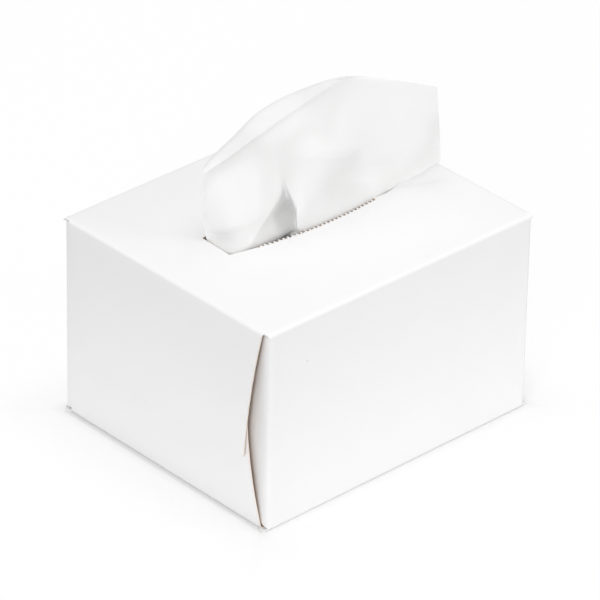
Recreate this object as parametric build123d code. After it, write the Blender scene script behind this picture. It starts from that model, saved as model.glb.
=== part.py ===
from build123d import *
import os
from math import cos, radians, sin, sqrt, tan

# Pack of lens paper: a glued folding carton with a torn-open slot in its top, the stack of folded
# sheets inside it, and the first sheet drawn up through the slot.
# X runs along the slot, Y across it and Z up. The origin is the middle of the carton's base.

# Carton, outside
carton_length = 128.0
carton_width = 108.0
carton_height = 80.0
board = 0.5
fold_radius = 1.2
glue_line = 0.1

# Glue seam: the bottom panel's lap stands inside the back panel
lap_height = 14.0
seam_lift = 0.5

# Closing flaps, one from the top panel and one from the bottom panel at each end
# A bow below zero is an edge that curves inwards
closing_flap_length = 54.0
closing_flap_root_inset = 3.0
closing_flap_tip_inset = 11.2
closing_flap_bow = -1.5

# Dust flaps, folded in from the front and back panels behind the closing flaps
dust_flap_length = 26.0
dust_flap_root_inset = 1.6
dust_flap_tip_inset = 5.0
dust_flap_bow = 0.6
dust_flap_turn = 101.0
flap_corner_radius = 1.6

# Corners of the tube, which run on between the roots of the flaps
corner_setback = 0.6
corner_slit = 0.2

# Slot in the top panel, a little askew, with a torn perforation along its two long edges
slot_length = 77.0
slot_end_width = 15.0
slot_middle_width = 24.0
slot_offset = 1.8
slot_setback = 1.5
slot_turn = -2.5
torn_length = 55.0
tooth_pitch = 1.9
tooth_depth = 1.1

# Room left round the stack of sheets: behind the end flaps, beside the glue lap and below the top panel
end_room = 7.2
side_room = 0.4
head_room = 5.5

# Sheets: each is folded once across its length and interleaved with the next
stack_shoulder = 4.0
stack_base_round = 1.5
sheet_thickness = 0.3
fold_opening = 0.3

# Raised half of the first sheet
sheet_rise = 49.0
sheet_reach = 58.0
sheet_sway = 12.0
slot_lift = 1.2
crest_depth = 7.0
corner_depth = 22.0

# One length for every cut to run past its faces
overrun = 2.0

# Places worked out from the sizes above
half_length = carton_length / 2
half_width = carton_width / 2
layer = board + glue_line
panel_end = half_length - 3 * layer - fold_radius
sheet_width = carton_length - 2 * (3 * layer + end_room)
folded_length = carton_width - 2 * (layer + board + side_room)
stack_height = carton_height - 2 * board - head_room
stack_top = board + stack_height
slot_frame = Pos(slot_offset, slot_setback, 0) * Rot(0, 0, slot_turn)


def folded_section(corners):
    """The section of board that is folded to the right at each corner of its outer face."""
    points = [Vector(corner) for corner in corners]
    ways = [(after - before).normalized() for before, after in zip(points, points[1:])]
    normals = [Vector(way.Y, -way.X) for way in ways]
    inner = [points[0] + normals[0] * board]
    for corner, before, after in zip(points[1:-1], normals, normals[1:]):
        inner.append(corner + (before + after) * (board / (1 + before.dot(after))))
    inner.append(points[-1] + normals[-1] * board)
    outline = FilletPolyline(*points, radius=fold_radius)
    outline += FilletPolyline(*inner, radius=fold_radius - board)
    outline += Line(points[0], inner[0])
    outline += Line(points[-1], inner[-1])
    return make_face(outline)


def folded_flap(root_width, tip_width, length, neck, turn, bow):
    """A flap in its own frame: the neck lies along X, flush with Z zero, and the flap turns down."""
    tangent = fold_radius * tan(radians(turn) / 2)
    leg = tangent + length - fold_radius
    tip = (tangent + leg * cos(radians(turn)), -leg * sin(radians(turn)))
    section = folded_section([(-neck, 0), (tangent, 0), tip])
    strip = extrude(Plane.XZ * section, amount=root_width / 2, both=True)
    root, end = root_width / 2, tip_width / 2
    slope_middle = ((root + end) / 2 + bow, -(fold_radius + length) / 2)
    edge = ThreePointArc((root, -fold_radius), slope_middle, (end, -length))
    half = Line((0, overrun), (root, overrun)) + Line((root, overrun), (root, -fold_radius)) + edge
    half += Line((end, -length), (0, -length))
    outline = make_face(half + mirror(half, about=Plane.YZ))
    corners = outline.vertices().group_by(Axis.Y)[0]
    outline = fillet(corners, radius=flap_corner_radius)
    return strip & extrude(Plane.YZ * outline, amount=carton_length, both=True)


def carton_tube(reach):
    """The four panels and the glue lap, one sheet folded round the pack, out to a reach at both ends."""
    lap_face = half_width - layer
    corners = [
        (lap_face, lap_height),
        (lap_face, 0),
        (-half_width, 0),
        (-half_width, carton_height),
        (half_width, carton_height),
        (half_width, seam_lift),
    ]
    return extrude(Plane.YZ * folded_section(corners), amount=reach, both=True)


def tube_corners():
    """The ends of the tube's four corners, past the panels and a slit away from the flaps beside them."""
    lid_width = carton_width - 2 * (closing_flap_root_inset - corner_slit)
    wall_height = carton_height - 2 * (dust_flap_root_inset - corner_slit)
    middle = Pos(0, 0, carton_height / 2)
    corners = carton_tube(half_length - corner_setback)
    corners -= middle * Box(2 * panel_end, carton_width, carton_height)
    corners -= middle * Box(carton_length, lid_width, carton_height)
    return corners - middle * Box(carton_length, carton_width, wall_height)


def end_flaps(end):
    """The closing and dust flaps of one end, in layers: top flap outside, bottom flap, dust flaps."""
    out = (end, 0, 0)
    closing_root = carton_width - 2 * closing_flap_root_inset
    closing_tip = carton_width - 2 * closing_flap_tip_inset
    dust_root = carton_height - 2 * dust_flap_root_inset
    dust_tip = carton_height - 2 * dust_flap_tip_inset
    dust_neck, bottom_neck, top_neck = layer, 2 * layer, 3 * layer
    top = folded_flap(closing_root, closing_tip, closing_flap_length, top_neck, 90, closing_flap_bow)
    bottom = folded_flap(closing_root, closing_tip, closing_flap_length, bottom_neck, 90, closing_flap_bow)
    dust = folded_flap(dust_root, dust_tip, dust_flap_length, dust_neck, dust_flap_turn, dust_flap_bow)
    flaps = [
        Plane((end * (panel_end + top_neck), 0, carton_height), x_dir=out, z_dir=(0, 0, 1)) * top,
        Plane((end * (panel_end + bottom_neck), 0, 0), x_dir=out, z_dir=(0, 0, -1)) * bottom,
    ]
    for face in (-1, 1):
        fold = (end * (panel_end + dust_neck), face * half_width, carton_height / 2)
        flaps.append(Plane(fold, x_dir=out, z_dir=(0, face, 0)) * dust)
    return flaps


def slot_half(x):
    """Half the slot's width at x: its long edges bow outwards as arcs."""
    bow = (slot_middle_width - slot_end_width) / 2
    radius = (slot_length**2 / 4 + bow**2) / (2 * bow)
    return slot_middle_width / 2 - radius + sqrt(radius**2 - x**2)


def slot_outline():
    """The slot as seen from above: plain cut ends and a row of torn teeth along each long edge."""
    end = slot_length / 2
    teeth = round(torn_length / tooth_pitch)
    torn_end = teeth * tooth_pitch / 2
    plain_middle = (end + torn_end) / 2
    torn = []
    for step in range(2 * teeth + 1):
        x = step * tooth_pitch / 2 - torn_end
        torn.append((x, slot_half(x) - tooth_depth * (step % 2)))
    edge = Polyline(*torn)
    for side in (-1, 1):
        corner = (side * end, slot_half(end))
        edge += ThreePointArc(
            (side * torn_end, slot_half(torn_end)),
            (side * plain_middle, slot_half(plain_middle)),
            corner,
        )
        edge += Line(corner, (side * end, 0))
    return make_face(edge + mirror(edge, about=Plane.XZ))


def carton():
    """The folded carton: one sheet of board with the slot torn out of its top panel."""
    body = carton_tube(panel_end) + tube_corners()
    for end in (-1, 1):
        for flap in end_flaps(end):
            body += flap
    cutter = extrude(slot_outline(), amount=board + 2 * overrun)
    return body - slot_frame * Pos(0, 0, carton_height - board - overrun) * cutter


def paper_stack():
    """The folded sheets below the first one, as one block with soft shoulders at its folds."""
    section = Rectangle(folded_length, stack_height, align=(Align.CENTER, Align.MIN))
    shoulders = section.vertices().group_by(Axis.Y)[-1]
    section = fillet(shoulders, radius=stack_shoulder)
    section = fillet(section.vertices().group_by(Axis.Y)[0], radius=stack_base_round)
    return Pos(0, 0, board) * extrude(Plane.YZ * section, amount=sheet_width / 2, both=True)


# The raised half, station by station from its left edge to its right edge: left edge, panel, soft fold,
# the pleat's deep fold, its ridge, four along the front, the flare and the right edge.
# Places in the slot are shares of half the slot's length and half its middle width.
slot_path_shares = (
    (-0.96, 0.42),
    (-0.94, -0.50),
    (-0.81, -0.57),
    (-0.02, 0.08),
    (-0.27, -0.84),
    (-0.01, -0.87),
    (0.30, -0.84),
    (0.59, -0.72),
    (0.82, -0.66),
    (0.92, -0.63),
    (0.96, -0.61),
)
# Higher places are shares of the sheet's reach, sway and rise: just above the slot, at the end of the
# pleat, and along the crest.
low_shares = (
    (-0.64, 0.69, 0.20),
    (-0.50, -0.08, 0.18),
    (-0.30, -0.31, 0.15),
    (-0.04, -0.02, 0.15),
    (-0.16, -0.82, 0.21),
    (0.02, -0.84, 0.22),
    (0.22, -0.84, 0.20),
    (0.41, -0.81, 0.16),
    (0.58, -0.79, 0.14),
    (0.76, -0.92, 0.13),
    (0.99, -1.07, 0.13),
)
pleat_shares = (
    (-0.63, 0.71, 0.37),
    (-0.47, 0.25, 0.38),
    (-0.15, -0.16, 0.28),
    (-0.12, -0.10, 0.29),
    (-0.09, -0.25, 0.33),
    (0.02, -0.62, 0.45),
    (0.21, -0.79, 0.47),
    (0.41, -0.84, 0.41),
    (0.58, -0.86, 0.31),
    (0.80, -0.98, 0.32),
    (0.99, -1.07, 0.33),
)
crest_shares = (
    (-0.63, 0.71, 0.56),
    (-0.43, 0.66, 0.61),
    (-0.30, 0.61, 0.67),
    (-0.20, 0.55, 0.71),
    (-0.09, 0.43, 0.78),
    (0.05, 0.29, 0.84),
    (0.21, 0.10, 0.94),
    (0.38, -0.14, 1.0),
    (0.62, -0.32, 0.86),
    (0.82, -0.68, 0.78),
    (0.98, -0.97, 0.71),
)
# Past the crest a strip goes back and still rises, and then the left-hand corner hangs down behind it.
strip_shares = (0.25, 0.85, 1.0, 1.0, 1.0, 0.95, 0.6, 0.15, 0.1, 0.05, 0.05)
lift_shares = (0.05, 0.1, 0.12, 0.16, 0.16, 0.13, 0.05, 0.02, 0.03, 0.03, 0.03)
corner_shares = (0.02, 0.6, 0.72, 0.6, 0.45, 0.3, 0.1, 0, -0.02, -0.02, -0.02)
hang_share = 0.5


def sheet_place(shares):
    """A place on the raised half from its shares of the sheet's reach, sway and rise."""
    along, across, up = shares
    return Vector(along * sheet_reach, slot_setback + across * sheet_sway, carton_height + up * sheet_rise)


def raised_column(station):
    """The middle line of the raised half at one station, from the stack up to its crest and free edge."""
    along, across = slot_path_shares[station]
    place = (slot_frame * Pos(along * slot_length / 2, across * slot_middle_width / 2, 0)).position
    foot = stack_top + 2 * sheet_thickness + fold_opening - sheet_thickness / 2
    column = [Vector(place.X, place.Y, foot), Vector(place.X, place.Y, carton_height + slot_lift)]
    for shares in (low_shares, pleat_shares, crest_shares):
        column.append(sheet_place(shares[station]))
    back = strip_shares[station] * crest_depth
    strip = column[-1] + Vector(0, back, lift_shares[station] * corner_depth)
    drop = corner_shares[station] * corner_depth
    return column + [strip, strip + Vector(0, back * hang_share, -drop)]


def beside(line, place, step):
    """The point next to a place on a line, or the place itself where the line ends."""
    return line[min(max(place + step, 0), len(line) - 1)]


def offset_at(columns, station, row):
    """Half the sheet's thickness, square to the strips on both sides of a point, as a mitre."""
    column = columns[station]
    along = beside(column, row, 1) - beside(column, row, -1)
    normals = []
    for left, right in ((station - 1, station), (station, station + 1)):
        if left >= 0 and right < len(columns):
            across = columns[right][row] - columns[left][row]
            normals.append(across.cross(along).normalized())
    before, after = normals[0], normals[-1]
    return (before + after) * (sheet_thickness / 2 / (1 + before.dot(after)))


def raised_half():
    """The raised half as a creased sheet: a ruled loft through a thin section at each station."""
    columns = [raised_column(station) for station in range(len(slot_path_shares))]
    fronts, backs = [], []
    for station, column in enumerate(columns):
        offsets = [offset_at(columns, station, row) for row in range(len(column))]
        fronts.append([point + out for point, out in zip(column, offsets)])
        backs.append([point - out for point, out in zip(column, offsets)])
    sections = [Wire.make_polygon(front + back[::-1]) for front, back in zip(fronts, backs)]
    faces = Shell.make_loft(sections, ruled=True).faces()
    for station in (0, -1):
        front, back = fronts[station], backs[station]
        for row in range(len(front) - 1):
            sides = [Edge.make_line(line[row], line[row + 1]) for line in (front, back)]
            faces.append(Face.make_surface_from_curves(*sides))
    return Solid(Shell(faces))


def raised_sheet():
    """The first sheet: one half on the stack, folded over at the back and drawn up through the slot."""
    turn = sheet_thickness + fold_opening / 2
    fold_middle = folded_length / 2 - turn
    front = -folded_length / 2
    foot_front = -slot_middle_width / 2
    outline = Line((front, sheet_thickness), (front, 0))
    outline += Line((foot_front, 2 * turn), (foot_front, 2 * turn - sheet_thickness))
    for inset in (0, sheet_thickness):
        outline += Line((front, inset), (fold_middle, inset))
        outline += CenterArc((fold_middle, turn), turn - inset, -90, 180)
        outline += Line((fold_middle, 2 * turn - inset), (foot_front, 2 * turn - inset))
    section = Plane.YZ * make_face(outline)
    lying = Pos(0, 0, stack_top) * extrude(section, amount=sheet_width / 2, both=True)
    return lying + raised_half()


os.makedirs("parts", exist_ok=True)
export_step(carton(), "parts/carton.step")
export_step(paper_stack(), "parts/paper_stack.step")
export_step(raised_sheet(), "parts/raised_sheet.step")
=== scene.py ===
# %% [markdown]
# # A pack of lens paper
# A plain white carton lies on its base. A slot has been torn out of its top along a perforation,
# and the first thin sheet has been drawn up through it. Three things make it: the carton, which is
# one folded sheet of board, the stack of folded sheets inside, and the first sheet.
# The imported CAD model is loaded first, because every piece here is made to fit its frame.

# %% Load the frame
import math
import random

import bmesh
import bpy
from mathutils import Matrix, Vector


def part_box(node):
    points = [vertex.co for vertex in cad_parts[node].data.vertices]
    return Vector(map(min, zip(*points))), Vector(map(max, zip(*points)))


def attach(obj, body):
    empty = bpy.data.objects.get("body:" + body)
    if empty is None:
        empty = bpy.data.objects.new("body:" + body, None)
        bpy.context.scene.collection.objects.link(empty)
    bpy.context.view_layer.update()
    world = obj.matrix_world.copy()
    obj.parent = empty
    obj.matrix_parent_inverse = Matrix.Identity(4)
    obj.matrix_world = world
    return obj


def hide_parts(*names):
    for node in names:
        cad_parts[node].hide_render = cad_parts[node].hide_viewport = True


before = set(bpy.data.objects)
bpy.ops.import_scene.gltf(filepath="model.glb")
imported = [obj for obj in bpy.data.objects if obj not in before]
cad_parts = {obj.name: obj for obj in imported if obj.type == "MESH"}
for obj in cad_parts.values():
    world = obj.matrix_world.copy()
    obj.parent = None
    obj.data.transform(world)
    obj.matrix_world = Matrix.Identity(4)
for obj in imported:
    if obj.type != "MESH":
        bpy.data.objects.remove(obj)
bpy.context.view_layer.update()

carton_low, carton_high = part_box("carton")
stack_low, stack_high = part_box("paper_stack")
MM = 0.001
HALF_LENGTH = carton_high.x
HALF_WIDTH = carton_high.y
HEIGHT = carton_high.z
print("carton", [round(2 * HALF_LENGTH / MM), round(2 * HALF_WIDTH / MM), round(HEIGHT / MM)], "mm")

# %% [markdown]
# ## Working in edit mode from a script
# By hand, a modeller clicks on edges and faces. A script picks them by their place instead. Three
# small helpers do that here: one makes a single object the active one, one selects what passes a
# test on its corners, and one applies a modifier as its Apply button would.

# %% Helpers for modelling
TINY = 0.01 * MM


def activate(piece):
    """Leaves one piece selected and active, in object mode."""
    if bpy.context.object and bpy.context.object.mode != "OBJECT":
        bpy.ops.object.mode_set(mode="OBJECT")
    bpy.ops.object.select_all(action="DESELECT")
    piece.select_set(True)
    bpy.context.view_layer.objects.active = piece


def pick(piece, kind, test):
    """In edit mode, selects the vertices, edges or faces whose corners all pass the test."""
    bpy.ops.mesh.select_mode(type=kind)
    bpy.ops.mesh.select_all(action="DESELECT")
    mesh = bmesh.from_edit_mesh(piece.data)
    parts = {"VERT": mesh.verts, "EDGE": mesh.edges, "FACE": mesh.faces}[kind]
    found = 0
    for part in parts:
        corners = [part.co] if kind == "VERT" else [corner.co for corner in part.verts]
        if all(test(corner) for corner in corners):
            part.select_set(True)
            found += 1
    mesh.select_flush_mode()
    bmesh.update_edit_mesh(piece.data)
    return found


def extrude(step):
    """Extrudes what is selected by a step, and leaves the new end selected."""
    bpy.ops.mesh.extrude_region_move(TRANSFORM_OT_translate={"value": step})


def finish_with(piece, kind, **settings):
    """Adds a modifier with its settings and applies it."""
    activate(piece)
    modifier = piece.modifiers.new(kind.title(), kind)
    for name, value in settings.items():
        setattr(modifier, name, value)
    bpy.ops.object.modifier_apply(modifier=modifier.name)


def near(value, place):
    """True where a coordinate is at a place, to within a hundredth of a millimetre."""
    return abs(value - place) < TINY


# %% [markdown]
# ## Camera
# The photograph was taken with a long lens, so the carton's edges run almost parallel. A camera
# could be placed by eye, but a wrong angle makes every shape look wrong. So it stands where the
# carton's corners and edges in the photograph say: to the front left, 31 degrees up, and turned by
# a degree about its own axis.

# %% Camera
CAMERA_AZIMUTH = math.radians(-43.17)
CAMERA_ELEVATION = math.radians(31.02)
CAMERA_ROLL = math.radians(1.11)
CAMERA_DISTANCE = 1.907
CAMERA_LENS_MM = 319.6
SENSOR_WIDTH_MM = 36
CAMERA_REACH = 20
AIM_RIGHT = 0.0009
AIM_UP = 0.00445

back = Vector((
    math.sin(CAMERA_AZIMUTH) * math.cos(CAMERA_ELEVATION),
    -math.cos(CAMERA_AZIMUTH) * math.cos(CAMERA_ELEVATION),
    math.sin(CAMERA_ELEVATION),
))
level = Vector((math.cos(CAMERA_AZIMUTH), math.sin(CAMERA_AZIMUTH), 0))
upright = back.cross(level)
aim = Vector((0, 0, HEIGHT / 2)) + level * AIM_RIGHT + upright * AIM_UP
bpy.ops.object.camera_add(location=aim + back * CAMERA_DISTANCE)
camera = bpy.context.object
camera.name = "photo_camera"
camera.rotation_euler = back.to_track_quat("Z", "Y").to_euler()
camera.rotation_euler.rotate_axis("Z", CAMERA_ROLL)
camera.data.lens = CAMERA_LENS_MM
camera.data.sensor_width = SENSOR_WIDTH_MM
camera.data.clip_end = CAMERA_REACH
bpy.context.scene.camera = camera
print("camera", [round(part, 3) for part in camera.location], "lens", CAMERA_LENS_MM)

# %% [markdown]
# ## Writing shader maths as sums
# A procedural material is a sum over the surface: noise here, a mask there. Joining Math nodes by
# hand is slow to read, so a Wire wraps a socket and lets plain arithmetic add those nodes. A Finish
# is one material, and one of its methods adds any other node.

# %% Shader helpers


class Wire:
    """A shader socket that takes part in Python arithmetic."""

    def __init__(self, finish, socket):
        self.finish = finish
        self.socket = socket

    def maths(self, operation, *values):
        inputs = dict(enumerate(values))
        return self.finish.node("ShaderNodeMath", {"operation": operation}, inputs)

    def __add__(self, other):
        return self.maths("ADD", self, other)

    def __sub__(self, other):
        return self.maths("SUBTRACT", self, other)

    def __rsub__(self, other):
        return self.maths("SUBTRACT", other, self)

    def __mul__(self, other):
        return self.maths("MULTIPLY", self, other)

    def size(self):
        return self.maths("ABSOLUTE", self)

    def most(self, other):
        return self.maths("MAXIMUM", self, other)

    __radd__ = __add__
    __rmul__ = __mul__


class Finish:
    """One material, built from nodes that read the piece's own coordinates."""

    def __init__(self, name):
        self.material = bpy.data.materials.new(name)
        self.material.use_nodes = True
        self.tree = self.material.node_tree
        self.tree.nodes.clear()
        self.place = self.node("ShaderNodeTexCoord", out="Object")

    def node(self, kind, settings=None, inputs=None, out=0):
        """Adds a node, sets its settings, then its inputs, and gives back one output."""
        made = self.tree.nodes.new(kind)
        for name, value in (settings or {}).items():
            setattr(made, name, value)
        for name, value in (inputs or {}).items():
            socket = made.inputs[name]
            if isinstance(value, Wire):
                self.tree.links.new(value.socket, socket)
            else:
                socket.default_value = value
        return Wire(self, made.outputs[out]) if len(made.outputs) else None

    def noise(self, size, detail=2.0, stretch=(1, 1, 1)):
        """Soft noise from 0 to 1, with features of about this size in metres."""
        place = self.node("ShaderNodeMapping", {}, {"Vector": self.place, "Scale": stretch})
        settings = {"Vector": place, "Scale": 1 / size, "Detail": detail}
        return self.node("ShaderNodeTexNoise", {}, settings)

    def ramp(self, value, low, high):
        """0 below low, 1 above high, and a smooth step between them."""
        limits = {"Value": value, "From Min": low, "From Max": high}
        return self.node("ShaderNodeMapRange", {"interpolation_type": "SMOOTHSTEP"}, limits)

    def mix(self, mask, first, second):
        """The first colour where the mask is 0, the second where it is 1."""
        colours = {0: mask, 6: first, 7: second}
        return self.node("ShaderNodeMix", {"data_type": "RGBA"}, colours, out=2)

    def along(self, axis):
        """One of the piece's own coordinates, in metres."""
        return self.node("ShaderNodeSeparateXYZ", {}, {"Vector": self.place}, out=axis)

    def bump(self, height, depth):
        """A normal from a height of 0 to 1 that stands for this depth in metres."""
        settings = {"Height": height, "Distance": depth, "Strength": 1.0}
        return self.node("ShaderNodeBump", {}, settings)

    def distance(self, point=(0, 0, 0)):
        """How far the surface is from a point, in metres."""
        points = {0: self.place, 1: point}
        return self.node("ShaderNodeVectorMath", {"operation": "DISTANCE"}, points, out="Value")

    def seen(self):
        """1 for what the camera sees, also mirrored or through something, 0 for other light."""
        rays = ("Is Camera Ray", "Is Glossy Ray", "Is Transmission Ray")
        direct, mirrored, through = [self.node("ShaderNodeLightPath", out=ray) for ray in rays]
        return direct.most(mirrored).most(through)

    def shader(self, inputs):
        """The main shader of the material."""
        return self.node("ShaderNodeBsdfPrincipled", {}, inputs)

    def show(self, shader):
        """Joins a shader to the material's output."""
        self.node("ShaderNodeOutputMaterial", {}, {"Surface": shader})


def colour(red, green, blue):
    """A colour as the sockets take it, fully opaque."""
    return (red, green, blue, 1.0)


def grey(level):
    return colour(level, level, level)


print("shader helpers", Wire.__name__, Finish.__name__)

# %% [markdown]
# ## Floor
# The pack was photographed on a glossy white sweep that fades out to pure white. A plane that is
# only lit would come out grey, so to the camera this one also glows white. The glow fades out close
# to the pack, and there the lit floor shows with its contact shadow. Along the two flap ends a thin
# darker line is painted into the floor's colour: painted shadow, as under a real edge. Other light
# meets a darker floor far from the pack, so less of it bounces onto the sides.

# %% Floor
FLOOR_SIDE = 8.0
WHITE_SHARE = 0.94
SHADE_SHARE = 0.5
# Painted shadow: how dark the thin line along the flap ends is, and how far out it reaches.
PAINTED_EDGE_SHADOW = 0.2
PAINTED_SHADOW_REACH = 0.0018
CONTACT_REACH = 0.005
SHADE_REACH = 0.03
TABLE_REACH = 0.10
TABLE_END = 0.28

bpy.ops.object.select_all(action="DESELECT")
bpy.ops.mesh.primitive_plane_add(size=FLOOR_SIDE, location=(0, 0, 0))
floor = bpy.context.object
floor.name = "white_floor"
gloss = Finish("glossy_white_floor")
polish = gloss.noise(0.05)
seen = gloss.seen()
beyond = gloss.ramp(gloss.distance(), TABLE_REACH, TABLE_END) * (1 - seen)
beside_end = gloss.along(0).size() - HALF_LENGTH
beside_side = gloss.along(1).size() - HALF_WIDTH
off_end = gloss.ramp(beside_end, 0, PAINTED_SHADOW_REACH)
off_side = gloss.ramp(beside_side, -PAINTED_SHADOW_REACH, 0)
# Painted shadow: the floor's colour is darkened in a thin line just off the two flap ends.
painted_edge_shadow = PAINTED_EDGE_SHADOW * (1 - off_end.most(off_side))
lit = gloss.shader({
    "Base Color": gloss.mix(beyond.most(painted_edge_shadow), grey(0.95), grey(0.25)),
    "Roughness": 0.10 + polish * 0.06,
    "Specular IOR Level": 0.6,
})
white = gloss.node("ShaderNodeEmission", {}, {"Color": grey(1), "Strength": 1.0})
beside_pack = beside_end.most(beside_side)
touching = gloss.ramp(beside_pack, 0, CONTACT_REACH)
clear = gloss.ramp(beside_pack, 0, SHADE_REACH)
white_share = touching * SHADE_SHARE + clear * (WHITE_SHARE - SHADE_SHARE)
gloss.show(gloss.node("ShaderNodeMixShader", {}, {0: seen * white_share, 1: lit, 2: white}))
floor.data.materials.append(gloss.material)
print("floor", floor.dimensions[:])

# %% [markdown]
# ## Light
# The photograph is bright and almost shadowless, and the end with the flaps is a little darker than
# the plain side. One strong lamp would draw hard shadows, so an evenly lit sky does most of it. A
# large square light hangs above, one stands to the left of the camera, and a weaker one at the
# front right. The camera sees none of them, and it sees a brighter sky than the one that lights the
# pack.

# %% Lights
SKY_STRENGTH = 0.6
SEEN_SKY_STRENGTH = 1.0
# Each soft light: its name, its place and its side in metres, and its power in watts.
SOFT_LIGHTS = (
    ("top_light", (0.15, 0.25, 1.3), 1.2, 5.9),
    ("camera_light", (-1.05, -0.72, 0.75), 0.6, 9.7),
    ("right_light", (0.7, -0.9, 0.35), 0.5, 3.5),
)


class Sky(Finish):
    """The world around the pack, whose nodes are written in the same way as a material's."""

    def __init__(self, name):
        self.world = bpy.data.worlds.new(name)
        self.world.use_nodes = True
        self.tree = self.world.node_tree
        self.tree.nodes.clear()

    def show(self, shader):
        self.node("ShaderNodeOutputWorld", {}, {"Surface": shader})


studio = Sky("white_studio")
strengths = (SKY_STRENGTH, SEEN_SKY_STRENGTH)
skies = [studio.node("ShaderNodeBackground", {}, {"Strength": strength}) for strength in strengths]
studio.show(studio.node("ShaderNodeMixShader", {}, {0: studio.seen(), 1: skies[0], 2: skies[1]}))
bpy.context.scene.world = studio.world
for name, place, side, power in SOFT_LIGHTS:
    bpy.ops.object.light_add(type="AREA", location=place)
    lamp = bpy.context.object
    lamp.name = name
    lamp.data.shape = "SQUARE"
    lamp.data.size = side
    lamp.data.energy = power
    lamp.visible_camera = False
    lamp.visible_glossy = False
    lamp.rotation_euler = Vector(place).to_track_quat("Z", "Y").to_euler()
bpy.context.scene.view_settings.view_transform = "Standard"
print("sky", SKY_STRENGTH, "lights", [name for name, place, side, power in SOFT_LIGHTS])

# %% [markdown]
# ## Finishes of the board
# The carton is board with a white liner outside and bare tan fibre inside. Its clean cut edges are
# pale, and where it was torn the fibre is tan. A flat colour would look like plastic. So the white
# face is satin with faint mottling and one dark fleck on the plain side, and the bare fibre varies
# in colour and height along short streaks.

# %% Board finishes
FLECK_PLACE = (-0.0454, -0.0541, 0.0633)
FLECK_RADIUS = 0.0008
FLECK_SHARE = 0.3

face = Finish("white_board_face")
cloudy = face.noise(0.018, detail=3.0)
fibre = face.noise(0.0009, detail=4.0)
ragged = face.distance(FLECK_PLACE) + fibre * (FLECK_RADIUS / 2)
fleck = 1 - face.ramp(ragged, FLECK_RADIUS / 2, FLECK_RADIUS)
paper_white = face.mix(0.5 * cloudy + 0.5 * fibre, grey(0.885), grey(0.925))
face.show(face.shader({
    "Base Color": face.mix(fleck * FLECK_SHARE, paper_white, colour(0.42, 0.40, 0.38)),
    "Roughness": 0.42 + fibre * 0.12,
    "Specular IOR Level": 0.35,
    "Normal": face.bump(fibre, 0.02 * MM),
}))


def bare_fibre(name, pale, dark):
    """Bare board: short fibres, lighter and darker, that stand a little proud."""
    finish = Finish(name)
    streaks = finish.noise(0.0016, detail=5.0, stretch=(1, 4, 1))
    specks = finish.noise(0.0004, detail=3.0)
    amount = 0.6 * streaks + 0.4 * specks
    finish.show(finish.shader({
        "Base Color": finish.mix(amount, dark, pale),
        "Roughness": 0.78 + specks * 0.15,
        "Specular IOR Level": 0.2,
        "Normal": finish.bump(amount, 0.05 * MM),
    }))
    return finish


inside = bare_fibre("tan_board_inside", colour(0.77, 0.50, 0.32), colour(0.57, 0.33, 0.18))
core = bare_fibre("tan_cut_edge", colour(0.97, 0.90, 0.82), colour(0.84, 0.73, 0.62))
torn_core = bare_fibre("torn_fibre", colour(0.78, 0.60, 0.40), colour(0.54, 0.38, 0.22))
print("board finishes", [finish.material.name for finish in (face, inside, core, torn_core)])

# %% [markdown]
# ## The carton, folded from one sheet
# A carton could be six boxes pushed together, but then it would have no folds and no layers. This
# one is folded as the real one is: it starts as the top panel, and each panel and flap is extruded
# from the edge of the one before. The folds are then bevelled, and Solidify gives the board its
# thickness, with tan fibre on the inner side and a pale rim on every cut edge.

# %% Panels
BOARD = 0.5 * MM
LAYER = 0.6 * MM
FOLD_RADIUS = 1.2 * MM
LAP_HEIGHT = 14 * MM
SEAM_LIFT = 0.5 * MM
PANEL_END = HALF_LENGTH - 3 * LAYER - FOLD_RADIUS
LAP_FACE = HALF_WIDTH - LAYER

bpy.ops.object.select_all(action="DESELECT")
bpy.ops.mesh.primitive_plane_add(size=1, location=(0, 0, HEIGHT))
carton = bpy.context.object
carton.name = "folded_carton"
carton.scale = (2 * PANEL_END, 2 * HALF_WIDTH, 1)
bpy.ops.object.transform_apply(location=True, rotation=True, scale=True)
bpy.ops.object.mode_set(mode="EDIT")
pick(carton, "EDGE", lambda p: near(p.y, -HALF_WIDTH))
extrude((0, 0, -HEIGHT))
extrude((0, HALF_WIDTH + LAP_FACE, 0))
extrude((0, 0, LAP_HEIGHT))
pick(carton, "EDGE", lambda p: near(p.y, HALF_WIDTH))
extrude((0, 0, SEAM_LIFT - HEIGHT))
print("panels", len(bmesh.from_edit_mesh(carton.data).faces))

# %% [markdown]
# Each end has four flaps: two short dust flaps from the sides lie innermost, then the closing flap
# from the bottom, and the one from the top lies outside. Loose boxes would have no root, so each
# flap is pulled out of its panel's end by a short neck, which sets its layer, and then turned down.
# Between the roots, the tube's four corners run on a little.

# %% Flaps
CLOSING_LENGTH = 54 * MM
CLOSING_ROOT = HALF_WIDTH - 3 * MM
CLOSING_TIP = HALF_WIDTH - 11.2 * MM
DUST_LENGTH = 26 * MM
DUST_ROOT = HEIGHT / 2 - 1.25 * MM
DUST_TIP = HEIGHT / 2 - 5 * MM
CORNER_ROUND = 1.6 * MM
TUBE_END = HALF_LENGTH - 0.6 * MM
MIDDLE = HEIGHT / 2


def score(test, place, direction):
    """Cuts the faces that pass the test along a plane, as a creasing rule marks the board."""
    pick(carton, "FACE", test)
    bpy.ops.mesh.bisect(plane_co=place, plane_no=direction)


def flap(root_test, neck, down, length, narrow):
    """Pulls a flap out of a panel's end, turns it down and narrows its free edge."""
    pick(carton, "EDGE", root_test)
    extrude(neck)
    extrude(Vector(down) * length)
    bpy.ops.transform.resize(value=narrow, center_override=(0, 0, MIDDLE))


def at_tube_corner(p, side, place):
    """True beside one of the tube's four corners, outside the roots of the flaps."""
    on_lid = near(p.z, place) and side * p.y > CLOSING_ROOT - TINY
    on_wall = near(side * p.y, HALF_WIDTH) and abs(p.z - place) < MIDDLE - DUST_ROOT + TINY
    return on_lid or on_wall


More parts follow.
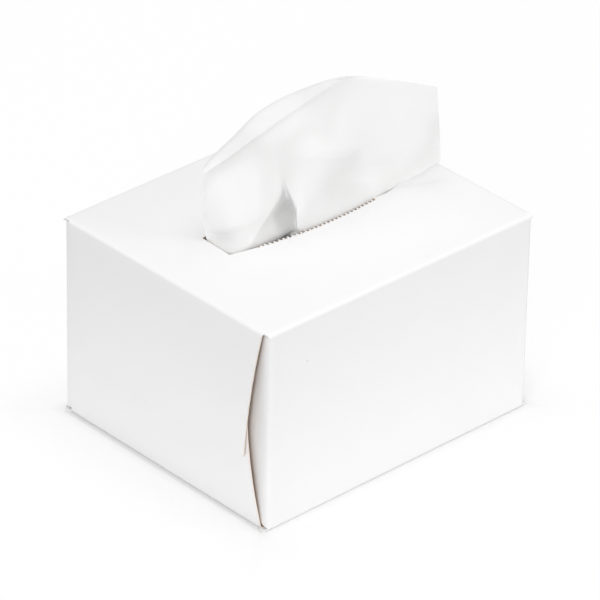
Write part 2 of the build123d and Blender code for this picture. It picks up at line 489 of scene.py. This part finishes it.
for side in (-1, 1):
    score(lambda p: near(p.z, HEIGHT) or near(p.z, 0), (0, side * CLOSING_ROOT, 0), (0, 1, 0))
    score(
        lambda p: near(p.y, -HALF_WIDTH) or near(p.y, HALF_WIDTH),
        (0, 0, MIDDLE + side * DUST_ROOT), (0, 0, 1),
    )
for end in (-1, 1):
    narrow = (1, CLOSING_TIP / CLOSING_ROOT, 1)
    for place, down, layers in ((HEIGHT, -1, 3), (0, 1, 2)):
        flap(
            lambda p: near(p.x, end * PANEL_END) and near(p.z, place)
            and abs(p.y) < CLOSING_ROOT + TINY,
            (end * (layers * LAYER + FOLD_RADIUS), 0, 0), (0, 0, down), CLOSING_LENGTH, narrow,
        )
    narrow = (1, 1, DUST_TIP / DUST_ROOT)
    for side in (-1, 1):
        flap(
            lambda p: near(p.x, end * PANEL_END) and near(p.y, side * HALF_WIDTH)
            and abs(p.z - MIDDLE) < DUST_ROOT + TINY,
            (end * (LAYER + FOLD_RADIUS), 0, 0), (0, -side, 0), DUST_LENGTH, narrow,
        )
        for place in (0, HEIGHT):
            pick(
                carton, "EDGE",
                lambda p: near(p.x, end * PANEL_END) and at_tube_corner(p, side, place),
            )
            extrude((end * (TUBE_END - PANEL_END), 0, 0))
print("carton with flaps, faces", len(bmesh.from_edit_mesh(carton.data).faces))

# %% [markdown]
# Board never folds to a knife edge. The folds are bevelled as edges, so every fold becomes a small
# round bend. A Bevel modifier could find them by their angle, but here each one is named by its
# place, as on the die that creases the board. The corners of each free edge are rounded first, by
# bevelling single vertices.

# %% Folds
FOLD_STEPS = 4


def on_flap_tip(p):
    """True on the free edge of any flap."""
    on_closing = near(p.z, HEIGHT - CLOSING_LENGTH) or near(p.z, CLOSING_LENGTH)
    on_dust = near(abs(p.y), HALF_WIDTH - DUST_LENGTH)
    return abs(p.x) > PANEL_END + TINY and (on_closing or on_dust)


pick(carton, "VERT", on_flap_tip)
bpy.ops.mesh.bevel(offset=CORNER_ROUND, segments=FOLD_STEPS, affect="VERTICES")


def on_fold(a, b):
    """True for an edge that the creasing rule marked, along the tube or across a flap's root."""
    level_fold = near(a.z, b.z) and (near(a.z, HEIGHT) or near(a.z, 0))
    upright_fold = near(a.y, b.y) and near(abs(a.y), HALF_WIDTH)
    if near(a.x, b.x):
        across_lid = level_fold and max(abs(a.y), abs(b.y)) < CLOSING_ROOT + TINY
        across_wall = upright_fold and max(abs(a.z - MIDDLE), abs(b.z - MIDDLE)) < DUST_ROOT + TINY
        return abs(a.x) > PANEL_END + LAYER and (across_lid or across_wall)
    at_corner = near(abs(a.y), HALF_WIDTH) or near(a.y, LAP_FACE)
    return level_fold and near(a.y, b.y) and at_corner


bpy.ops.mesh.select_mode(type="EDGE")
bpy.ops.mesh.select_all(action="DESELECT")
mesh = bmesh.from_edit_mesh(carton.data)
folds = [edge for edge in mesh.edges if on_fold(edge.verts[0].co, edge.verts[1].co)]
for edge in folds:
    edge.select_set(True)
bmesh.update_edit_mesh(carton.data)
bpy.ops.mesh.bevel(
    offset=FOLD_RADIUS, segments=FOLD_STEPS, profile=0.5, affect="EDGES", clamp_overlap=False
)
print("folds", len(folds))

# %% [markdown]
# In the photograph a dark gap shows beside the flaps at the near corner. The closing flaps' slanted
# edges curve inwards, and the front dust flap behind them curls in. Straight cuts first divide the
# board into a grid with closer steps at that curl, and then each vertex moves by a smooth rule.
# Solidify comes after that, so that the thickness follows every bend. The tube's corners past the
# flaps stay white on both sides, because the photograph shows no tan rim there.

# %% Flap shapes and thickness
TOP_FLAP_BOW = -1.4 * MM
BOTTOM_FLAP_BOW = -2.5 * MM
DUST_BOW = 0.6 * MM
DUST_CURL = 8 * MM
CURL_POWER = 1.3
DUST_DROP = 2.1 * MM
DUST_FOOT = 0.6 * MM
DUST_LEAN = math.tan(math.radians(7))
FLAP_LIFT = 0.5 * MM
GRID_STEP = 8 * MM
CURL_CUTS = (-50.8 * MM, -49.2 * MM, -47.6 * MM)


def divide(axis, places):
    """Cuts the whole carton across one axis at each of these places."""
    direction = [0, 0, 0]
    direction[axis] = 1
    for place in places:
        point = [0, 0, 0]
        point[axis] = place
        bpy.ops.mesh.select_all(action="SELECT")
        bpy.ops.mesh.bisect(plane_co=point, plane_no=direction)


def even_steps(low, high):
    """Places at even steps between two ends."""
    return [low + step * GRID_STEP for step in range(1, round((high - low) / GRID_STEP))]


divide(0, even_steps(-HALF_LENGTH, HALF_LENGTH))
divide(1, even_steps(-HALF_WIDTH, HALF_WIDTH))
divide(2, even_steps(0, HEIGHT))
divide(1, CURL_CUTS)
bpy.ops.object.mode_set(mode="OBJECT")


def bowed(across, down, length, root, tip, bow):
    """How far a point moves outwards where a flap's slanted edge bows, most at half its length."""
    share = min(max(down / length, 0), 1)
    edge = root + (tip - root) * share
    arc = bow * 4 * share * (1 - share)
    return math.copysign(1, across) * arc * min(abs(across) / edge, 1) ** 4


def in_layer(p, count):
    """True on the flaps that lie this many layers in from the end of the carton."""
    return abs((HALF_LENGTH - abs(p.x)) / LAYER - count) < 0.1


for vertex in carton.data.vertices:
    p = vertex.co
    end = math.copysign(1, p.x)
    on_closing = abs(p.y) < CLOSING_ROOT + TINY
    on_neck = PANEL_END + LAYER / 2 < abs(p.x) < HALF_LENGTH - 2 * LAYER + TINY
    if near(p.z, MIDDLE - DUST_ROOT) and on_neck:
        p.z -= DUST_FOOT
    if in_layer(p, 0) and on_closing:
        p.y += bowed(p.y, HEIGHT - p.z, CLOSING_LENGTH, CLOSING_ROOT, CLOSING_TIP, TOP_FLAP_BOW)
        p.x += end * FLAP_LIFT * ((HEIGHT - p.z) / CLOSING_LENGTH) ** 2
    elif in_layer(p, 1) and on_closing:
        p.y += bowed(p.y, p.z, CLOSING_LENGTH, CLOSING_ROOT, CLOSING_TIP, BOTTOM_FLAP_BOW)
    elif in_layer(p, 2) and abs(p.z - MIDDLE) < DUST_ROOT + TINY:
        inward = HALF_WIDTH - FOLD_RADIUS - abs(p.y)
        p.z += bowed(p.z - MIDDLE, inward, DUST_LENGTH, DUST_ROOT, DUST_TIP, DUST_BOW)
        if p.y < 0 and inward > 0:
            curl = min(inward / DUST_CURL, 1)
            p.x -= end * (DUST_DROP * curl**CURL_POWER + DUST_LEAN * max(inward - DUST_CURL, 0))

for finish in (face, inside, core):
    carton.data.materials.append(finish.material)
finish_with(
    carton, "SOLIDIFY", thickness=BOARD, offset=-1, material_offset=1, material_offset_rim=2
)
for polygon in carton.data.polygons:
    x, y, z = polygon.center
    past_flaps = abs(y) > CLOSING_ROOT and abs(z - MIDDLE) > DUST_ROOT
    if abs(x) > PANEL_END and past_flaps:
        polygon.material_index = 0
print("carton faces", len(carton.data.polygons))

# %% [markdown]
# ## The torn slot
# The slot was perforated: a row of short cuts with bridges of board between them. Where the bridges
# tore, small teeth stand along both long edges, and the white liner peeled back a little, so tan
# fibre shows on top of the teeth. The ends were cut clean. Two kinds of cutter make this with the
# Boolean modifier: one as deep as the board, and a shallow one that only takes off the liner.

# %% Slot
SLOT_END = 38.5 * MM
SLOT_END_HALF = 7.5 * MM
SLOT_MIDDLE_HALF = 12 * MM
SLOT_OFFSET = 1.8 * MM
SLOT_SETBACK = 1.5 * MM
SLOT_TURN = math.radians(-2.5)
TOOTH_PITCH = 1.9 * MM
TOOTH_DEPTH = 1.1 * MM
TEETH = 29
# One tooth along its pitch: where each point lies, and how much of the depth it has.
TOOTH_SHARES = ((0.0, 0), (0.5, 0), (0.62, 1), (0.88, 1))
TOOTH_LENGTHS = (0.75, 1.0)
TOOTH_SHIFT = 0.06
FRAY_MM = (0.05, 0.3)
PEEL_DEPTH = 0.13 * MM
OVERRUN = 2 * MM
torn = random.Random(11)


def slot_half(x):
    """Half the slot's width at x: its long edges bow outwards as arcs."""
    bow = SLOT_MIDDLE_HALF - SLOT_END_HALF
    radius = (SLOT_END**2 + bow**2) / (2 * bow)
    return SLOT_MIDDLE_HALF - radius + math.sqrt(radius**2 - x**2)


def torn_edge():
    """One long edge of the slot from left to right, with its plain ends and uneven teeth."""
    torn_end = TEETH * TOOTH_PITCH / 2
    plain = (SLOT_END + torn_end) / 2
    edge = [(-SLOT_END, slot_half(SLOT_END)), (-plain, slot_half(plain))]
    for tooth in range(TEETH):
        length = TOOTH_DEPTH * torn.uniform(*TOOTH_LENGTHS)
        for along, out in TOOTH_SHARES:
            shift = torn.uniform(-TOOTH_SHIFT, TOOTH_SHIFT)
            x = (tooth + along + shift) * TOOTH_PITCH - torn_end
            edge.append((x, slot_half(x) - length * out))
    edge += [(plain, slot_half(plain)), (SLOT_END, slot_half(SLOT_END))]
    return edge


def prism(name, outline, low, high):
    """A straight cutter: a filled ring of points, pulled up to its full height."""
    bpy.ops.object.select_all(action="DESELECT")
    bpy.ops.mesh.primitive_circle_add(vertices=len(outline), fill_type="NGON")
    cutter = bpy.context.object
    cutter.name = name
    for vertex, (x, y) in zip(cutter.data.vertices, outline):
        vertex.co = (x, y, low)
    bpy.ops.object.mode_set(mode="EDIT")
    bpy.ops.mesh.select_all(action="SELECT")
    extrude((0, 0, high - low))
    bpy.ops.mesh.select_all(action="SELECT")
    bpy.ops.mesh.normals_make_consistent(inside=False)
    bpy.ops.object.mode_set(mode="OBJECT")
    cutter.rotation_euler.z = SLOT_TURN
    cutter.location = (SLOT_OFFSET, SLOT_SETBACK, 0)
    cutter.data.materials.append(torn_core.material)
    return cutter


def cut_away(cutter):
    """Takes a cutter's shape out of the carton and leaves bare fibre where it went."""
    finish_with(
        carton, "BOOLEAN", object=cutter, operation="DIFFERENCE", solver="EXACT",
        material_mode="TRANSFER",
    )
    bpy.data.objects.remove(cutter)


far_edge = torn_edge()
near_edge = [(x, -y) for x, y in torn_edge()]
cut_away(prism("slot_cutter", near_edge + far_edge[::-1], HEIGHT - OVERRUN, HEIGHT + OVERRUN))
for edge, side in ((near_edge, -1), (far_edge, 1)):
    frayed = [(x, y + side * torn.uniform(*FRAY_MM) * MM) for x, y in edge[2:-2]]
    inner = [(x, y - side * OVERRUN) for x, y in (edge[-3], edge[2])]
    cut_away(prism("liner_cutter", frayed + inner, HEIGHT - PEEL_DEPTH, HEIGHT + OVERRUN))
print("slot cut, faces", len(carton.data.polygons))

# %% [markdown]
# The folded board is now given the slight bow that real panels have: the sides swell outwards and
# the top stands a little proud of its folds. Each vertex is moved by a smooth rule, as a wide
# sculpting brush would move it.

# %% Bow of the panels
SIDE_BOW = 0.35 * MM
TOP_BOW = 0.25 * MM

for vertex in carton.data.vertices:
    p = vertex.co
    across = math.cos(math.pi * p.x / (2 * PANEL_END))
    if abs(p.x) < PANEL_END and abs(p.y) > LAP_FACE - 2 * BOARD:
        p.y += math.copysign(SIDE_BOW * across * math.sin(math.pi * p.z / HEIGHT), p.y)
    if abs(p.x) < PANEL_END and p.z > HEIGHT - 2 * BOARD:
        p.z += TOP_BOW * across * math.cos(math.pi * p.y / (2 * HALF_WIDTH))
activate(carton)
bpy.ops.object.shade_smooth_by_angle(angle=math.radians(35))
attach(carton, "root")
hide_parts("carton")
print("carton size", [round(side / MM, 1) for side in carton.dimensions])

# %% [markdown]
# ## Finishes of the paper
# Lens paper is thin, soft and unglazed. Light goes through it a little, so its shader is part plain
# white and part translucent. Its long fibres make a faint cloudiness and a fine uneven surface, and
# soft darker lines are painted in as the shade of small creases, which would need far more points
# as real folds. The stack is the same paper seen from its edges: hundreds of thin layers, so fine
# level lines.

# %% Paper finishes
THROUGH_SHARE = 0.36
# Painted shade of small creases: how strongly it darkens and how wide its lines are.
CREASE_SHADE_SHARE = 0.3
PAINTED_CREASE_WIDTH = 0.09

tissue = Finish("lens_paper")
wisps = tissue.noise(0.012, detail=4.0)
hairs = tissue.noise(0.0007, detail=5.0, stretch=(1, 1, 0.5))
ridges = (tissue.noise(0.045, detail=2.0) - 0.5).size()
# Painted shade: thin grey lines along the ridges of a noise stand for the shade of small creases.
painted_crease_shade = 1 - tissue.ramp(ridges, 0, PAINTED_CREASE_WIDTH)
tissue_white = tissue.mix(0.5 * wisps + 0.5 * hairs, grey(0.93), grey(0.985))
shaded = colour(0.78, 0.775, 0.765)
solid_paper = tissue.shader({
    "Base Color": tissue.mix(painted_crease_shade * CREASE_SHADE_SHARE, tissue_white, shaded),
    "Roughness": 0.85 + hairs * 0.1,
    "Specular IOR Level": 0.15,
    "Normal": tissue.bump(0.85 * wisps + 0.15 * hairs, 0.25 * MM),
})
thin_paper = tissue.node("ShaderNodeBsdfTranslucent", {}, {"Color": grey(0.97)})
both = {0: THROUGH_SHARE, 1: solid_paper, 2: thin_paper}
tissue.show(tissue.node("ShaderNodeMixShader", {}, both))

layers = Finish("stacked_paper_edges")
lines = layers.noise(0.0011, detail=3.0, stretch=(0.02, 0.02, 5.0))
soft = layers.noise(0.02)
layers.show(layers.shader({
    "Base Color": layers.mix(lines, colour(0.74, 0.73, 0.71), colour(0.92, 0.92, 0.91)),
    "Roughness": 0.85 + soft * 0.1,
    "Specular IOR Level": 0.15,
    "Normal": layers.bump(lines, 0.1 * MM),
}))
print("paper finishes", tissue.material.name, layers.material.name)

# %% [markdown]
# ## The stack of sheets
# Inside, the folded sheets lie in one block with soft shoulders where the folds are. It starts as a
# cube. Its upper folds are bevelled round, level cuts divide it into bundles, and each bundle is
# shifted by a fraction of a millimetre, as sheets in a pack never line up perfectly.

# %% Stack
SHOULDER = 4 * MM
BASE_ROUND = 1.5 * MM
BUNDLE = 1.5 * MM
SHIFT = 0.3 * MM
shuffle = random.Random(5)

bpy.ops.object.select_all(action="DESELECT")
bpy.ops.mesh.primitive_cube_add(size=1, location=(stack_low + stack_high) / 2)
stack = bpy.context.object
stack.name = "sheet_stack"
stack.scale = stack_high - stack_low
bpy.ops.object.transform_apply(location=True, rotation=True, scale=True)
bpy.ops.object.mode_set(mode="EDIT")
for level_z, radius in ((stack_high.z, SHOULDER), (stack_low.z, BASE_ROUND)):
    for side_y in (stack_low.y, stack_high.y):
        pick(stack, "EDGE", lambda p: near(p.z, level_z) and near(p.y, side_y))
        bpy.ops.mesh.bevel(offset=radius, segments=5, profile=0.5, affect="EDGES")
bundles = round((stack_high.z - stack_low.z) / BUNDLE)
for cut in range(1, bundles):
    bpy.ops.mesh.select_all(action="SELECT")
    bpy.ops.mesh.bisect(plane_co=(0, 0, stack_low.z + cut * BUNDLE), plane_no=(0, 0, 1))
bpy.ops.object.mode_set(mode="OBJECT")
shifts = [shuffle.uniform(0, SHIFT) for bundle in range(bundles + 1)]
for vertex in stack.data.vertices:
    inward = shifts[round((vertex.co.z - stack_low.z) / BUNDLE)]
    vertex.co.x -= math.copysign(inward, vertex.co.x)
    vertex.co.y -= math.copysign(inward / 2, vertex.co.y)
stack.data.materials.append(layers.material)
activate(stack)
bpy.ops.object.shade_smooth_by_angle(angle=math.radians(40))
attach(stack, "root")
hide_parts("paper_stack")
print("stack bundles", bundles)

# %% [markdown]
# ## The first sheet
# The sheet is 110 by 210 mm. One half lies on the stack, the other is folded over at the back, runs
# forward under the top panel, is gathered in the slot with one deep pleat, and stands up. Its upper
# left corner is folded back over a slanting crest. Cloth simulation would give some soft shape, but
# not this one, so the sheet is a coarse cage of points that Subdivision Surface rounds off, with
# creases where the paper is sharply folded.

# %% Cage of the sheet
SHEET_WIDTH = 110 * MM
FOLD_Y = 52.3
UNDER_Z = 74.12
OVER_Z = 74.75
FOLD_BACK = 1
# The raised half, column by column from the left, in millimetres in the frame. Each column goes up
# in three lines: from the slot by two rows to the pleat's end, then the slanting crease, under the
# crest and the crest, then the strip and the part behind it.
raised = (
    ((-35.9, 8.2, 79.2), (-36.3, 9.3, 82), (-37, 9.6, 87.8), (-37, 10, 95.1),
     (-36.9, 10, 99.5), (-36.6, 10.1, 104.7), (-36.6, 10, 106.6),
     (-33.8, 13, 107.9), (-30.5, 16.2, 103.9), (-28.5, 17, 96.6)),
    ((-36.5, 2.4, 79.2), (-33.5, 7, 82.2), (-35.4, 3.6, 85.8), (-33.3, 6.6, 95.6),
     (-32.3, 8.2, 100.5), (-30.9, 10.5, 105.9), (-31, 9.8, 107.7),
     (-29.2, 14.8, 109.5), (-27.5, 17.2, 103.9), (-26.5, 17.8, 93.7)),
    ((-36.3, -3.7, 79.3), (-30.4, 3.4, 82.4), (-31.8, -2.8, 85.8), (-27.8, 3, 96.1),
     (-26.4, 6, 101.5), (-24.9, 10.1, 107.4), (-25, 9.4, 109.2),
     (-24, 15.2, 111.4), (-23.5, 17.5, 105.8), (-23, 18, 94.6)),
    ((-29.3, -5.6, 79.8), (-24.5, -3.8, 83.2), (-16, -2.4, 88.3), (-8.2, -0.3, 93.1),
     (-11.5, 3.5, 100.5), (-17.3, 9.5, 110), (-17.5, 8.8, 111.9),
     (-17, 15, 114.6), (-17, 17.5, 109.2), (-17, 18, 97.5)),
    ((-17.2, -5.4, 79.7), (-13.6, -1.5, 84), (-10.4, -0.4, 88.8), (-7.6, -0.1, 93.4),
     (-9.8, 3.2, 101), (-14.4, 9.2, 111.1), (-14.5, 8.5, 113),
     (-14, 14.8, 116.4), (-14, 17.3, 111.2), (-14, 17.8, 100)),
    ((-2.6, -3, 79.6), (-1.2, 2.6, 84), (-4, 1.6, 88.8), (-7, 0.1, 93.7),
     (-8.3, 2.8, 101.5), (-11.4, 8.8, 112.1), (-11.5, 8.1, 113.9),
     (-11.3, 14.5, 118.3), (-11.3, 17, 113.2), (-11.3, 17.5, 102.4)),
    ((-5.6, -6.2, 79.7), (-5.2, -3.8, 84.4), (-6.2, -3.8, 89.3), (-6.8, -0.2, 93.7),
     (-7, 2.2, 101.9), (-8.4, 8.3, 113.1), (-8.5, 7.6, 114.9),
     (-8.5, 14, 120), (-8.5, 16.5, 115.1), (-8.5, 17, 105.3)),
    ((-9.2, -8.7, 80), (-9.2, -8.7, 84.4), (-9.2, -8.6, 89.8), (-6.6, -0.8, 93.9),
     (-5.6, 1.0, 102.9), (-4.9, 7.3, 115.4), (-5, 6.6, 117.2),
     (-5, 13.2, 121.3), (-5, 15.5, 117.5), (-5, 16, 109.2)),
    ((1, -9.4, 80), (1, -9.3, 84.4), (1, -8.3, 90.2), (0.8, -6.6, 97.1),
     (1, -5.2, 106.8), (3, 5.4, 118.4), (3, 4.8, 120.4),
     (2, 11.7, 123.5), (2, 13.5, 120.5), (2, 14, 115.6)),
    ((13, -9.6, 80), (13, -9, 84), (13, -4.8, 88.5), (12.5, -5.6, 95.8),
     (12, -8.8, 103.8), (12, 2.7, 122.5), (12, 2.6, 124.8),
     (12, 7, 126.1), (12, 8, 124.8), (12, 8.4, 122.9)),
    ((24, -8.9, 80), (24, -8.2, 83.5), (24, -4.4, 87), (24, -5.6, 92.9),
     (24, -9.6, 99.5), (22.5, -1.8, 121.4), (21.6, -0.2, 129),
     (21.8, 0.6, 129.2), (22, 1.2, 129), (22, 1.8, 128.8)),
    ((33, -8.2, 80), (33, -8.3, 83), (33.4, -8.3, 86.8), (33.5, -8.4, 90.2),
     (33.5, -9, 94.6), (35.8, -4.5, 113.6), (36, -2.4, 121.5),
     (36, -2, 122.2), (36, -1.8, 122.7), (36, -1.6, 123.1)),
    ((37.8, -7.5, 80), (41.5, -8.6, 83), (45, -9.8, 87.3), (45.8, -10.2, 91.2),
     (46.3, -10.3, 95.6), (47.5, -7.8, 111.7), (47.7, -6.6, 117.4),
     (47.7, -6.4, 118.2), (47.7, -6.3, 118.7), (47.7, -6.2, 119.2)),
    ((38.8, -7.2, 80.3), (47.6, -10, 82.6), (58.2, -11.5, 85.7), (57.9, -11.5, 90.7),
     (57.6, -11.4, 96.1), (57, -10.4, 109.2), (56.8, -10.1, 114.1),
     (56.8, -10, 114.7), (56.8, -10, 115.2), (56.8, -9.9, 115.7)),
)
# Height of each column above the stack where the gathered sheet passes under the top panel.
gather_lifts = (0.6, 0.6, 0.6, 0.6, 0.9, 1.5, 1.1, 0.6, 0.6, 0.6, 0.6, 0.6, 0.6, 0.6)
COLUMNS = len(raised)


def lying_rows(column):
    """The rows of one column that lie on the stack, from the front edge to the slot."""
    flat_x = (column / (COLUMNS - 1) - 0.5) * SHEET_WIDTH / MM
    slot_x, slot_y, _ = raised[column][0]
    gather = slot_x - flat_x
    lift = gather_lifts[column]
    return [
        (flat_x, -FOLD_Y, UNDER_Z),
        (flat_x, 0, UNDER_Z),
        (flat_x, FOLD_Y - FOLD_BACK, UNDER_Z),
        (flat_x, FOLD_Y, (UNDER_Z + OVER_Z) / 2),
        (flat_x, FOLD_Y - FOLD_BACK, OVER_Z),
        (flat_x + gather * 0.35, FOLD_Y * 0.6, OVER_Z + lift * 0.3),
        (flat_x + gather * 0.85, slot_y + 5, OVER_Z + lift),
        (slot_x, slot_y + 0.4, OVER_Z + lift + 0.8),
    ]


cage = [lying_rows(column) + list(raised[column]) for column in range(COLUMNS)]
ROWS = len(cage[0])
LYING = ROWS - len(raised[0])
bpy.ops.object.select_all(action="DESELECT")
bpy.ops.mesh.primitive_grid_add(x_subdivisions=COLUMNS - 1, y_subdivisions=ROWS - 1, size=1)
sheet = bpy.context.object
sheet.name = "first_sheet"
for vertex in sheet.data.vertices:
    column = round((vertex.co.x + 0.5) * (COLUMNS - 1))
    row = round((vertex.co.y + 0.5) * (ROWS - 1))
    vertex.co = Vector(cage[column][row]) * MM
print("cage", COLUMNS, "columns", ROWS, "rows")

# %% [markdown]
# Subdivision Surface would round every fold of the cage. An edge's crease says how much of its
# sharpness it keeps, so the crest stays a fold in the paper and the pleat a softer one. Two single
# points stay sharp too: the peak, and the corner that stands out at the lower right.

# %% Creases of the sheet
SLOT_ROW, PLEAT_ROW, CREASE_ROW, CREST_ROW = LYING, LYING + 3, LYING + 4, LYING + 6
# Each crease: the columns and rows that it runs along, and how sharp it is.
CREASES = (
    (range(0, 11), (CREST_ROW,), 0.97),
    ((7,), range(SLOT_ROW, PLEAT_ROW), 0.8),
    ((5,), range(SLOT_ROW, PLEAT_ROW), 0.7),
    ((3,), range(SLOT_ROW, PLEAT_ROW + 1), 0.85),
    (range(7, 11), (CREASE_ROW,), 0.9),
    (range(0, 3), (SLOT_ROW,), 0.5),
    (range(0, 3), (SLOT_ROW + 1,), 0.8),
)
# Each sharp point: its column and its row.
PINNED = ((COLUMNS - 1, SLOT_ROW + 2), (10, CREST_ROW))


def crease(columns, rows, amount):
    """Sharpens the cage's edges that join neighbouring points of a run."""
    run = {row * COLUMNS + column for column in columns for row in rows}
    bpy.ops.mesh.select_mode(type="EDGE")
    bpy.ops.mesh.select_all(action="DESELECT")
    mesh = bmesh.from_edit_mesh(sheet.data)
    for edge in mesh.edges:
        edge.select_set(all(corner.index in run for corner in edge.verts))
    bmesh.update_edit_mesh(sheet.data)
    bpy.ops.transform.edge_crease(value=amount)


def pin(column, row):
    """Keeps a single point of the cage sharp."""
    bpy.ops.mesh.select_mode(type="VERT")
    bpy.ops.mesh.select_all(action="DESELECT")
    mesh = bmesh.from_edit_mesh(sheet.data)
    mesh.verts.ensure_lookup_table()
    mesh.verts[row * COLUMNS + column].select_set(True)
    bmesh.update_edit_mesh(sheet.data)
    bpy.ops.transform.vert_crease(value=1)


activate(sheet)
bpy.ops.object.mode_set(mode="EDIT")
for columns, rows, amount in CREASES:
    crease(columns, rows, amount)
for column, row in PINNED:
    pin(column, row)
bpy.ops.object.mode_set(mode="OBJECT")
finish_with(sheet, "SUBSURF", levels=3, render_levels=3, boundary_smooth="PRESERVE_CORNERS")
print("sheet faces", len(sheet.data.polygons))

# %% [markdown]
# Lens paper is about as thin as a hair. One layer of faces would do for a picture, but then the
# sheet would have no edge, so Solidify gives it a little thickness to both sides of its faces.

# %% Thickness of the sheet
PAPER = 0.08 * MM

sheet.data.materials.append(tissue.material)
finish_with(sheet, "SOLIDIFY", thickness=PAPER, offset=0)
bpy.ops.object.shade_smooth_by_angle(angle=math.radians(40))
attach(sheet, "root")
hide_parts("raised_sheet")
print("sheet size", [round(side / MM, 1) for side in sheet.dimensions])
